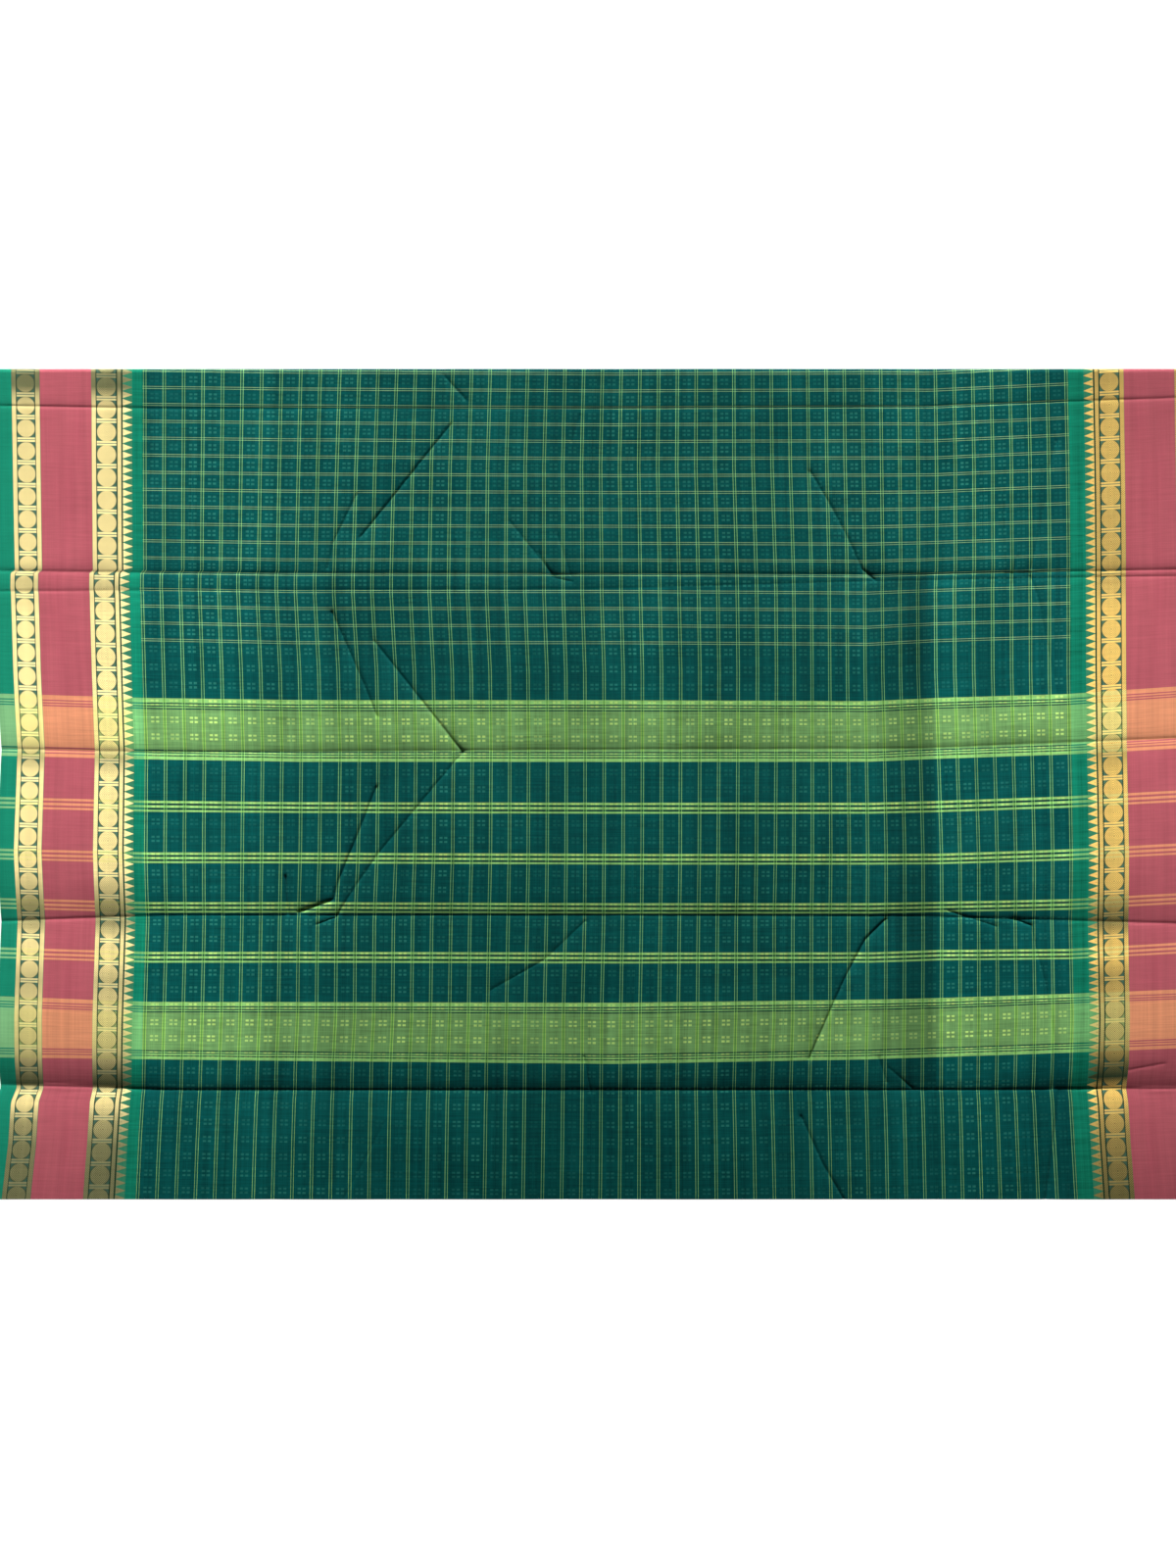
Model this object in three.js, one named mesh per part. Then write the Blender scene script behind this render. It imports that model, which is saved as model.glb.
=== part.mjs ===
// A cotton sari, 5.5 m long, folded back and forth across its length into seven layers.
// The whole top layer shows: the patterned pallu end with its weft bands, and the start
// of the checked body. Six hidden layers lie under it as one solid, layered at its edges.
//
// Millimetres. +X runs across the cloth, +Y along it from the pallu's hem to the first
// fold, +Z up. The origin is under the middle of the stack, on the surface it lies on.

import * as THREE from 'three';

// Sizes of the cloth and of the stack
const WALL = 1.5; // thickness of the top layer's wall
const SEAM = 0.3; // gap between neighbouring pieces
const LAYERS = 6; // hidden layers under the top one
const LAYER_PITCH = 2.1; // one hidden layer with the air in it
const BORDER_WIDTH = 132; // selvedge, two gold strips, maroon strip and temple row
const HEM_Y = -401.9; // free end of the pallu
const FOLD_Y = 401.9; // outside of the first fold
const FOLD_RADIUS = 2.4; // inside radius of the first fold
const RIM_INSET = 6; // hidden layers' flat top stops this far inside the top layer
const STACK_HEIGHT = LAYERS * LAYER_PITCH;
const BEND_Y = FOLD_Y - FOLD_RADIUS - WALL; // where the top layer starts to turn down

// Grid steps across the cloth
const BORDER_STEPS = 3;
const FIELD_STEPS = 30;
const BEND_ANGLES = [30, 60, 90].map(THREE.MathUtils.degToRad);

// The two selvedges wander a little, jog where the old creases cross, and splay at the hem.
const EDGES = [
  { y: -401.9, left: -603.3, right: 603.3 },
  { y: -333.0, left: -595.0, right: 597.3 },
  { y: -294.5, left: -589.1, right: 593.5 },
  { y: -285.0, left: -592.9, right: 597.3 },
  { y: -152.0, left: -591.0, right: 596.9 },
  { y: -133.0, left: -587.7, right: 596.8 },
  { y: -66.5, left: -591.0, right: 596.5 },
  { y: 33.0, left: -587.2, right: 594.0 },
  { y: 186.0, left: -594.3, right: 593.2 },
  { y: 206.0, left: -589.8, right: 593.0 },
  { y: 401.9, left: -593.8, right: 590.6 },
];

// Lines across the cloth, from the hem up. Each row gives the line's y at five places
// across and where the grid rows lie from it to the next line, as shares of the way.
const ACROSS = [-590, -430, -30, 300, 590];
const HEM_ROWS = [0, 0.3, 0.56, 0.78, 0.92];
const WIDE_ROWS = [0, 0.06, 0.13, 0.23, 0.4, 0.62, 0.82];
const LINES = [
  { at: 'hem', left: -401.9, inLeft: -401.9, middle: -401.9, inRight: -401.9, right: -401.9,
    rows: HEM_ROWS },
  { at: 'crease five', left: -291.7, inLeft: -296.4, middle: -296.4, inRight: -296.4, right: -295.5,
    rows: WIDE_ROWS },
  { at: 'crease four', left: -133.0, inLeft: -127.3, middle: -127.3, inRight: -128.0, right: -136.4,
    rows: WIDE_ROWS },
  { at: 'crease three', left: 34.2, inLeft: 30.4, middle: 33.0, inRight: 34.2, right: 46.0,
    rows: [0, 0.1, 0.25, 0.6] },
  { at: 'last check', left: 145.0, inLeft: 138.7, middle: 135.9, inRight: 136.0, right: 149.0,
    rows: [0, 0.6] },
  { at: 'crease two, lower', left: 186.2, inLeft: 187.2, middle: 188.5, inRight: 197.5, right: 202.0,
    rows: [0] },
  { at: 'crease two, upper', left: 206.2, inLeft: 204.3, middle: 203.0, inRight: 202.5, right: 208.0,
    rows: [0, 0.06, 0.15, 0.4, 0.7, 0.9] },
  { at: 'crease one', left: 366.0, inLeft: 363.0, middle: 363.0, inRight: 365.0, right: 375.0,
    rows: [0, 0.4] },
  { at: 'first fold', left: BEND_Y, inLeft: BEND_Y, middle: BEND_Y, inRight: BEND_Y, right: BEND_Y,
    rows: [] },
];
const SPLIT_LINE = 'last check'; // the pallu lies below this line, the body above it

// The old creases among those lines: how deep each is at the left border, in the field
// and at the right border, how far the cloth slopes to it on the far side, at the borders
// and in the field, and how far it slopes on the near side. Between creases the cloth
// pillows up to PILLOW over the flat top of the stack.
const PILLOW = 7.4;
const BORDER_ZONE = 480; // from here out a crease is as deep as at the border
const FIELD_ZONE = 410; // from here in it is as deep as in the field
const CREASES = [
  { at: 'crease five', deepLeft: 7.0, deepField: 2.8, deepRight: 7.0, farBorder: 26, farField: 13, near: 45 },
  { at: 'crease four', deepLeft: 4.6, deepField: 2.2, deepRight: 4.2, farBorder: 34, farField: 14, near: 90 },
  { at: 'crease three', deepLeft: 1.4, deepField: 1.3, deepRight: 1.6, farBorder: 14, farField: 10, near: 40 },
  { at: 'crease two, lower', deepLeft: 0.6, deepField: 0.6, deepRight: 0.8, farBorder: 8, farField: 8, near: 30 },
  { at: 'crease two, upper', deepLeft: 0.6, deepField: 0.8, deepRight: 0.6, farBorder: 8, farField: 8, near: 12 },
  { at: 'crease one', deepLeft: 0.4, deepField: 1.2, deepRight: 0.4, farBorder: 8, farField: 7, near: 26 },
];

// Old creases that run along or slantwise: a trough from one point to another.
const TROUGHS = [
  { x1: -318, y1: 402, x2: -326, y2: -402, depth: 1.2 },
  { x1: -23, y1: 402, x2: -25, y2: -402, depth: 1.4 },
  { x1: 300, y1: 402, x2: 305, y2: -402, depth: 1.6 },
  { x1: -152, y1: 348, x2: -239, y2: 239, depth: 1.6 },
  { x1: -226, y1: 138, x2: -141, y2: 32, depth: 1.8 },
  { x1: -267, y1: 166, x2: -224, y2: 66, depth: 1.4 },
  { x1: -141, y1: 30, x2: -221, y2: -66, depth: 1.8 },
  { x1: -221, y1: -66, x2: -263, y2: -128, depth: 1.6 },
  { x1: 196, y1: 302, x2: 258, y2: 198, depth: 1.4 },
  { x1: 434, y1: 332, x2: 410, y2: 209, depth: 1.2 },
  { x1: 269, y1: -131, x2: 195, y2: -266, depth: 1.8 },
  { x1: -22, y1: -133, x2: -114, y2: -200, depth: 1.4 },
  { x1: 394, y1: -131, x2: 433, y2: -251, depth: 1.2 },
  { x1: 187, y1: -322, x2: 228, y2: -402, depth: 1.4 },
];
const TROUGH_REACH = 30; // how far each side of a trough slopes

// How far each hidden layer's edge stays inside the top layer, on the four sides.
// A fold joins a layer to the next one down on the side named by its column.
const HIDDEN = [
  { layer: 1, left: 4.0, right: 5.5, near: 5.0, far: 2.6, joinsNextAt: 'near' },
  { layer: 2, left: 7.5, right: 3.5, near: 5.0, far: 8.0, joinsNextAt: 'far' },
  { layer: 3, left: 3.0, right: 6.5, near: 8.5, far: 8.0, joinsNextAt: 'near' },
  { layer: 4, left: 6.0, right: 4.0, near: 8.5, far: 4.5, joinsNextAt: 'far' },
  { layer: 5, left: 4.5, right: 7.5, near: 4.0, far: 4.5, joinsNextAt: 'near' },
  { layer: 6, left: 6.5, right: 5.0, near: 4.0, far: 10.0, joinsNextAt: '' },
];
const GROOVE = 3.2; // depth of the groove between two layers that aren't joined
const BOTTOM_INSET = 7;

// Small helpers
function readTable(rows, key, column, at) {
  if (at <= rows[0][key]) return rows[0][column];
  for (let i = 1; i < rows.length; i += 1) {
    if (at <= rows[i][key]) {
      const share = (at - rows[i - 1][key]) / (rows[i][key] - rows[i - 1][key]);
      return THREE.MathUtils.lerp(rows[i - 1][column], rows[i][column], share);
    }
  }
  return rows[rows.length - 1][column];
}

function lineY(line, x) {
  const stops = [line.left, line.inLeft, line.middle, line.inRight, line.right];
  const rows = stops.map((y, i) => ({ x: ACROSS[i], y }));
  return readTable(rows, 'x', 'y', x);
}

function distanceToTrough(x, y, trough) {
  const dx = trough.x2 - trough.x1;
  const dy = trough.y2 - trough.y1;
  const along = ((x - trough.x1) * dx + (y - trough.y1) * dy) / (dx * dx + dy * dy);
  const share = THREE.MathUtils.clamp(along, 0, 1);
  return Math.hypot(x - trough.x1 - share * dx, y - trough.y1 - share * dy);
}

// How far one old crease lowers the cloth
const LINE_NAMED = new Map(LINES.map((line) => [line.at, line]));

function creaseDepth(crease, x, y) {
  const off = y - lineY(LINE_NAMED.get(crease.at), x);
  const outward = THREE.MathUtils.clamp((Math.abs(x) - FIELD_ZONE) / (BORDER_ZONE - FIELD_ZONE), 0, 1);
  const deep = THREE.MathUtils.lerp(crease.deepField, x < 0 ? crease.deepLeft : crease.deepRight, outward);
  const far = THREE.MathUtils.lerp(crease.farField, crease.farBorder, outward);
  return deep * (off > 0 ? 1 - Math.tanh(off / far) : Math.exp(off / crease.near));
}

// Height of the cloth's underside over the flat top of the stack.
function relief(x, y) {
  let height = PILLOW;
  for (const crease of CREASES) height -= creaseDepth(crease, x, y);
  let trough = 0;
  for (const row of TROUGHS) {
    const nearness = Math.max(0, 1 - distanceToTrough(x, y, row) / TROUGH_REACH);
    trough = Math.max(trough, row.depth * nearness * nearness);
  }
  return Math.max(0, height - trough * Math.min(1, height / 3));
}

// The grid: columns across the cloth, rows along it
function columnX(column, y) {
  const left = readTable(EDGES, 'y', 'left', y);
  const right = readTable(EDGES, 'y', 'right', y);
  const fieldLeft = left + BORDER_WIDTH;
  const fieldRight = right - BORDER_WIDTH;
  if (column <= BORDER_STEPS) return THREE.MathUtils.lerp(left, fieldLeft, column / BORDER_STEPS);
  const inField = column - BORDER_STEPS;
  if (inField <= FIELD_STEPS) return THREE.MathUtils.lerp(fieldLeft, fieldRight, inField / FIELD_STEPS);
  return THREE.MathUtils.lerp(fieldRight, right, (inField - FIELD_STEPS) / BORDER_STEPS);
}

const COLUMNS = 2 * BORDER_STEPS + FIELD_STEPS;
const FLAT_ROWS = LINES.reduce((sum, line) => sum + line.rows.length, 0);
const ROWS = FLAT_ROWS + BEND_ANGLES.length;
const SPLIT_ROW = LINES.slice(0, LINES.findIndex((line) => line.at === SPLIT_LINE))
  .reduce((sum, line) => sum + line.rows.length, 0);

function rowY(row, x) {
  let first = 0;
  for (let i = 0; i + 1 < LINES.length; i += 1) {
    const inStrip = row - first;
    if (inStrip < LINES[i].rows.length) {
      return THREE.MathUtils.lerp(lineY(LINES[i], x), lineY(LINES[i + 1], x), LINES[i].rows[inStrip]);
    }
    first += LINES[i].rows.length;
  }
  return BEND_Y;
}

function gridPlace(column, row) {
  const roughX = columnX(column, 0);
  const y = rowY(Math.min(row, FLAT_ROWS), roughX);
  return { x: columnX(column, y), y };
}

// The diagonal of a grid cell that follows the relief better
const slopesUp = new Map();

function diagonalUp(column, row) {
  const key = column * 1000 + row;
  if (!slopesUp.has(key)) {
    const corner = (i, j) => gridPlace(column + i, row + j);
    const height = (place) => relief(place.x, place.y);
    const [a, b, c, d] = [corner(0, 0), corner(1, 0), corner(1, 1), corner(0, 1)];
    const middle = relief((a.x + b.x + c.x + d.x) / 4, (a.y + b.y + c.y + d.y) / 4);
    const up = Math.abs((height(a) + height(c)) / 2 - middle);
    const down = Math.abs((height(b) + height(d)) / 2 - middle);
    slopesUp.set(key, up <= down);
  }
  return slopesUp.get(key);
}

function addCell(faces, vertexAt, column, row, facesUp) {
  const a = vertexAt(column, row);
  const b = vertexAt(column + 1, row);
  const c = vertexAt(column + 1, row + 1);
  const d = vertexAt(column, row + 1);
  const pair = diagonalUp(column, row) ? [[a, b, c], [a, c, d]] : [[a, b, d], [b, c, d]];
  for (const [p, q, r] of pair) faces.push(...(facesUp ? [p, q, r] : [p, r, q]));
}

function meshFrom(name, points, faces, material) {
  const geometry = new THREE.BufferGeometry();
  geometry.setAttribute('position', new THREE.Float32BufferAttribute(points.flat(), 3));
  geometry.setIndex(faces);
  geometry.computeVertexNormals();
  const mesh = new THREE.Mesh(geometry, material);
  mesh.name = name;
  return mesh;
}

// The cloth's surface at a grid point, lifted off its underside
function clothPoint(column, row, lift, shiftX, shiftY) {
  const place = gridPlace(column, row);
  const x = place.x + shiftX;
  const z = STACK_HEIGHT + SEAM + relief(place.x, place.y);
  if (row <= FLAT_ROWS) return [x, place.y + shiftY, z + lift];
  const angle = BEND_ANGLES[row - FLAT_ROWS - 1];
  const radius = FOLD_RADIUS + lift;
  return [x, BEND_Y + radius * Math.sin(angle), z - FOLD_RADIUS + radius * Math.cos(angle)];
}

// One stretch of the top layer: a wall over some columns and rows of the grid
function clothStretch(name, columns, rows, material) {
  const [firstColumn, lastColumn] = columns;
  const [firstRow, lastRow] = rows;
  const points = [];
  const faces = [];
  const wide = lastColumn - firstColumn + 1;
  const size = wide * (lastRow - firstRow + 1);
  const innerShift = (step, first, last, outerFirst, outerLast) => {
    if (step === first && first !== outerFirst) return SEAM / 2;
    if (step === last && last !== outerLast) return -SEAM / 2;
    return 0;
  };
  for (const lift of [0, WALL]) {
    for (let row = firstRow; row <= lastRow; row += 1) {
      for (let column = firstColumn; column <= lastColumn; column += 1) {
        const shiftX = innerShift(column, firstColumn, lastColumn, 0, COLUMNS);
        const shiftY = innerShift(row, firstRow, lastRow, 0, ROWS);
        points.push(clothPoint(column, row, lift, shiftX, shiftY));
      }
    }
  }
  const under = (column, row) => (row - firstRow) * wide + column - firstColumn;
  const over = (column, row) => size + under(column, row);
  for (let row = firstRow; row < lastRow; row += 1) {
    for (let column = firstColumn; column < lastColumn; column += 1) {
      addCell(faces, under, column, row, false);
      addCell(faces, over, column, row, true);
    }
  }
  const rim = (c1, r1, c2, r2) => {
    faces.push(under(c1, r1), under(c2, r2), over(c2, r2));
    faces.push(under(c1, r1), over(c2, r2), over(c1, r1));
  };
  for (let column = firstColumn; column < lastColumn; column += 1) {
    rim(column, firstRow, column + 1, firstRow);
    rim(column + 1, lastRow, column, lastRow);
  }
  for (let row = firstRow; row < lastRow; row += 1) {
    rim(lastColumn, row, lastColumn, row + 1);
    rim(firstColumn, row + 1, firstColumn, row);
  }
  return meshFrom(name, points, faces, material);
}

// The hidden layers: a flat-bottomed solid whose sides show the edge of every layer
function sideLevels() {
  const levels = [];
  for (const [i, layer] of HIDDEN.entries()) {
    levels.push({ ...layer, share: (LAYERS - i - 0.5) / LAYERS });
    const next = HIDDEN[i + 1];
    if (!next) break;
    const level = { share: (LAYERS - i - 1) / LAYERS };
    for (const side of ['left', 'right', 'near', 'far']) {
      const joined = layer.joinsNextAt === side;
      const inset = joined ? Math.min(layer[side], next[side]) - 1 : Math.max(layer[side], next[side]) + GROOVE;
      level[side] = inset;
    }
    levels.push(level);
  }
  levels.push({ share: 0, left: BOTTOM_INSET, right: BOTTOM_INSET, near: BOTTOM_INSET, far: BOTTOM_INSET });
  return levels;
}

function foldedLayers(material) {
  const points = [];
  const faces = [];
  const wide = COLUMNS + 1;
  const stackPlace = (column, row, level) => {
    const place = gridPlace(column, row);
    if (row === 0) place.y = HEM_Y + level.near;
    if (row === FLAT_ROWS) place.y = FOLD_Y - level.far;
    place.x = columnX(column, THREE.MathUtils.clamp(place.y, HEM_Y, FOLD_Y));
    if (column === 0) place.x += level.left;
    if (column === COLUMNS) place.x -= level.right;
    return place;
  };
  const rim = { left: RIM_INSET, right: RIM_INSET, near: RIM_INSET, far: RIM_INSET };
  const topHeight = (column, row) => {
    const place = gridPlace(column, row);
    return STACK_HEIGHT + relief(place.x, place.y);
  };
  for (let row = 0; row <= FLAT_ROWS; row += 1) {
    for (let column = 0; column <= COLUMNS; column += 1) {
      const place = stackPlace(column, row, rim);
      points.push([place.x, place.y, topHeight(column, row)]);
    }
  }
  const top = (column, row) => row * wide + column;
  for (let row = 0; row < FLAT_ROWS; row += 1) {
    for (let column = 0; column < COLUMNS; column += 1) addCell(faces, top, column, row, true);
  }
  const perimeter = [];
  for (let column = 0; column < COLUMNS; column += 1) perimeter.push([column, 0]);
  for (let row = 0; row < FLAT_ROWS; row += 1) perimeter.push([COLUMNS, row]);
  for (let column = COLUMNS; column > 0; column -= 1) perimeter.push([column, FLAT_ROWS]);
  for (let row = FLAT_ROWS; row > 0; row -= 1) perimeter.push([0, row]);

  let upper = perimeter.map(([column, row]) => top(column, row));
  for (const level of sideLevels()) {
    const lower = perimeter.map(([column, row]) => {
      const place = stackPlace(column, row, level);
      points.push([place.x, place.y, topHeight(column, row) * level.share]);
      return points.length - 1;
    });
    for (let i = 0; i < perimeter.length; i += 1) {
      const j = (i + 1) % perimeter.length;
      faces.push(lower[i], lower[j], upper[j], lower[i], upper[j], upper[i]);
    }
    upper = lower;
  }
  const outline = upper.map((index) => new THREE.Vector2(points[index][0], points[index][1]));
  for (const [a, b, c] of THREE.ShapeUtils.triangulateShape(outline, [])) {
    faces.push(upper[a], upper[c], upper[b]);
  }
  return meshFrom('folded_layers', points, faces, material);
}

// Finishes
function cotton(colour) {
  return new THREE.MeshStandardMaterial({ color: colour, roughness: 0.8, metalness: 0 });
}

const finishes = {
  pallu_field: cotton('#17564b'),
  body_field: cotton('#1e5e50'),
  pallu_border: cotton('#b66068'),
  body_border: cotton('#c4646c'),
  folded_layers: cotton('#0f5048'),
};

// The sari
const sari = new THREE.Group();
const stretches = [
  { part: 'border_left', columns: [0, BORDER_STEPS], finish: 'border' },
  { part: 'field', columns: [BORDER_STEPS, BORDER_STEPS + FIELD_STEPS], finish: 'field' },
  { part: 'border_right', columns: [BORDER_STEPS + FIELD_STEPS, COLUMNS], finish: 'border' },
];
for (const { part, columns, finish } of stretches) {
  sari.add(clothStretch(`pallu_${part}`, columns, [0, SPLIT_ROW], finishes[`pallu_${finish}`]));
  sari.add(clothStretch(`body_${part}`, columns, [SPLIT_ROW, ROWS], finishes[`body_${finish}`]));
}
sari.add(foldedLayers(finishes.folded_layers));

export default sari;
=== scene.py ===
# A cotton sari laid flat, folded across its length into seven layers. The top layer is
# six long stretches of one cloth, side by side, and the six layers under it are one
# zigzag sheet. Tables and weave places are in millimetres; meshes are in metres.
import math

import bpy
import numpy as np
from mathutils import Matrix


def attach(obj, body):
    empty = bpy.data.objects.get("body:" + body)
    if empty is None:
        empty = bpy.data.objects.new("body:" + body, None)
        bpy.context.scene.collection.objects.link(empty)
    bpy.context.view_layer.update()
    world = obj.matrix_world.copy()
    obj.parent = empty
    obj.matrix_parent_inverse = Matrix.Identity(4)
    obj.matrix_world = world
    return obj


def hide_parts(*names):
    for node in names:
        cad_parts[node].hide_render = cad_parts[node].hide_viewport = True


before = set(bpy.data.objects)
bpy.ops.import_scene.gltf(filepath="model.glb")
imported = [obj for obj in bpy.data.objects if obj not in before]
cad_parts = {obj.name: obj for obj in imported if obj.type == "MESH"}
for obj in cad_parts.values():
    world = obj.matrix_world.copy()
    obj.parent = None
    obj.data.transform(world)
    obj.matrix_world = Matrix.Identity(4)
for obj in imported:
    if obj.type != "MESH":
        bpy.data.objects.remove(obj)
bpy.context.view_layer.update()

MM = 0.001

# Sizes of the cloth and of the stack. The far fold bends from BEND_Y on. STACK_HEIGHT is the
# height of the hidden layers where the top layer is lowest, and LIFT is the room over them.
# PILLOW is how far the top layer rises between its creases, and HIDDEN_SHARE is how much of
# that rise the hidden layers follow.
CLOTH_WIDTH = 1185.0
BORDER_WIDTH = 132.0
CLOTH_THICKNESS = 0.5
HIDDEN_THICKNESS = 0.9
HEM_Y = -401.9
FOLD_Y = 401.9
FOLD_REACH = 3.9
BEND_Y = FOLD_Y - FOLD_REACH
RETURN_LENGTH = 8.0
STACK_HEIGHT = 12.6
LIFT = 1.5
PILLOW = 7.4
HIDDEN_SHARE = 0.55
WOVEN_LENGTH = 801.5


# Camera. VIEW_LENGTH is the length that the picture takes in at the level of the cloth.
CAMERA_HEIGHT = 3.015
CLOTH_LEVEL = 15.0
CAMERA_X = -19.3
SENSOR = 36.0
VIEW_LENGTH = 1520.0


def place_camera():
    """Straight above the cloth, with the far fold at the top of the picture."""
    lens = SENSOR * (CAMERA_HEIGHT - CLOTH_LEVEL * MM) / (VIEW_LENGTH * MM)
    bpy.ops.object.camera_add(location=(CAMERA_X * MM, 0, CAMERA_HEIGHT), rotation=(0, 0, 0))
    camera = bpy.context.object
    camera.name = "camera"
    camera.data.sensor_fit = "AUTO"
    camera.data.sensor_width = SENSOR
    camera.data.lens = lens
    bpy.context.scene.camera = camera


# Where the two selvedges run, and how far the warp pairs stand from an even spacing.
# Columns of DRIFT: place along the cloth, then the shift at each of DRIFT_AT.
DRIFT_AT = [0, 144.1, 344.3, 562.7, 744.7, 908.5, 1035.9, CLOTH_WIDTH]
DRIFT = [
    (-401.9, -10.8, -6.9, -1.7, 3.5, 9.0, 9.0, 9.5, 10.8),
    (-347.0, -4.2, -4.6, -1.1, 4.3, 7.9, 8.1, 6.6, 5.8),
    (-308.0, -2.2, -2.6, -0.4, 4.6, 7.0, 7.2, 5.0, 4.0),
    (-295.0, 3.4, -1.6, 0.2, 4.8, 6.6, 6.6, 4.0, 1.2),
    (-270.0, 2.2, -0.7, 0.8, 4.9, 7.2, 6.5, 4.8, 4.6),
    (-225.0, 1.6, 0.3, 3.1, 5.0, 8.6, 6.6, 5.8, 4.6),
    (-134.0, 4.6, 2.7, 3.5, 7.2, 8.7, 7.2, 4.3, 4.3),
    (-66.0, 1.5, 1.3, 6.6, 7.6, 9.9, 6.6, 4.8, 4.0),
    (33.0, 5.3, 1.8, 7.6, 7.7, 10.5, 3.9, 3.1, 1.5),
    (109.0, 1.2, -0.3, 6.0, 7.4, 10.9, 1.2, 2.0, 1.1),
    (184.0, -1.2, -2.1, 1.4, 4.9, 10.4, 0.9, 1.9, 0.7),
    (188.0, -1.8, -2.5, 1.4, 4.9, 10.4, 0.9, 1.9, 0.7),
    (204.0, -1.6, -2.3, 1.5, 4.9, 10.0, 1.6, 2.1, 0.5),
    (207.0, 2.7, 0.6, 1.7, 4.9, 9.8, 1.9, 2.1, 0.5),
    (307.0, 0.6, 0.4, 4.6, 4.2, 6.5, 1.9, 1.2, -0.8),
    (401.9, -1.3, 0.2, 7.8, 6.4, 5.7, 0.7, -0.5, -1.9),
]

# How far the weft threads rise toward the far fold, over their height in the middle.
BOW_AT = [0, 144, 288, 592.5, 839, 906, 1034, CLOTH_WIDTH]
BOW = [
    (-401.9, 3.0, 2.5, 1.5, 0, 2.0, 3.0, 5.0, 8.0),
    (-270.8, 6.0, 4.8, 3.0, 0, 4.5, 6.8, 11.0, 17.0),
    (-212.8, 6.5, 0.9, 0.7, 0, 3.4, 4.8, 10.0, 16.0),
    (-164.4, 5.0, 0.7, 0.9, 0, 0.3, 2.7, 3.5, 12.0),
    (-69.4, 5.0, 1.4, 1.2, 0, -0.1, 0.1, 4.2, 12.0),
    (21.9, 6.0, 2.5, 0.1, 0, 0.2, 3.0, 7.4, 15.0),
    (79.8, 6.5, 2.2, 0.2, 0, -0.9, 2.2, 6.0, 17.0),
    (136.8, 6.0, 2.9, 0, 0, -1.7, 1.9, 5.9, 14.0),
    (203.3, 5.0, 2.0, 0, 0, -1.5, 0.7, 4.4, 12.0),
    (330.6, 6.0, 3.5, 1.8, 0, 1.0, 0.8, 6.6, 15.0),
    (401.9, 6.0, 3.5, 1.8, 0, 1.0, 0.8, 6.6, 15.0),
]

# Place along the cloth in the middle, and the woven length from the hem to there.
WOVEN = [
    (-401.9, 0),
    (-265.1, 136.9),
    (-216.1, 185.8),
    (-166.7, 234.6),
    (-118.8, 283.4),
    (-71.1, 332.3),
    (-21.7, 381.1),
    (27.4, 430.0),
    (76.7, 478.8),
    (136.8, 535.8),
    (202.8, 600.9),
    (216.6, 617.2),
    (401.9, WOVEN_LENGTH),
]

# Old creases across the cloth, from the hem up: their place at five points across. Then,
# at the left border, in the field and at the right border, how deep they are and how far
# the cloth slopes on their far side; how far it slopes on the near side; and the depth of
# the sharp line.
ACROSS = [-590, -430, -30, 300, 590]
ZONES = [-480, -410, 410, 480]
CROSSWISE = [
    {"at": (-291.7, -296.4, -296.4, -296.4, -295.5), "deep": (7.0, 2.8, 7.0),
     "far": (26, 13, 26), "near": 45, "line": 0.8},
    {"at": (-133.0, -127.3, -127.3, -128.0, -136.4), "deep": (4.6, 2.2, 4.2),
     "far": (34, 14, 34), "near": 90, "line": 0.7},
    {"at": (34.2, 30.4, 33.0, 34.2, 46.0), "deep": (1.4, 1.3, 1.6),
     "far": (14, 10, 14), "near": 40, "line": 0.5},
    {"at": (186.2, 187.2, 188.5, 197.5, 202.0), "deep": (0.6, 0.6, 0.8),
     "far": (8, 8, 8), "near": 30, "line": 0.4},
    {"at": (206.2, 204.3, 203.0, 202.5, 208.0), "deep": (0.7, 1.1, 0.8),
     "far": (8, 8, 8), "near": 14, "line": 0.5},
    {"at": (366.0, 363.0, 363.0, 365.0, 375.0), "deep": (0.4, 0.3, 0.3),
     "far": (8, 7, 8), "near": 26, "line": 0.7},
]

# Old creases along the cloth, from the far fold to the hem.
LENGTHWISE = [
    {"far_x": -318, "near_x": -326, "deep": 0.9, "reach": 22, "line": 0.25},
    {"far_x": -23, "near_x": -25, "deep": 0.9, "reach": 26, "line": 0.3},
    {"far_x": 9, "near_x": 8, "deep": 0.4, "reach": 12, "line": 0.2},
    {"far_x": 306, "near_x": 314, "deep": 1.2, "reach": 26, "line": 0.5},
]

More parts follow.
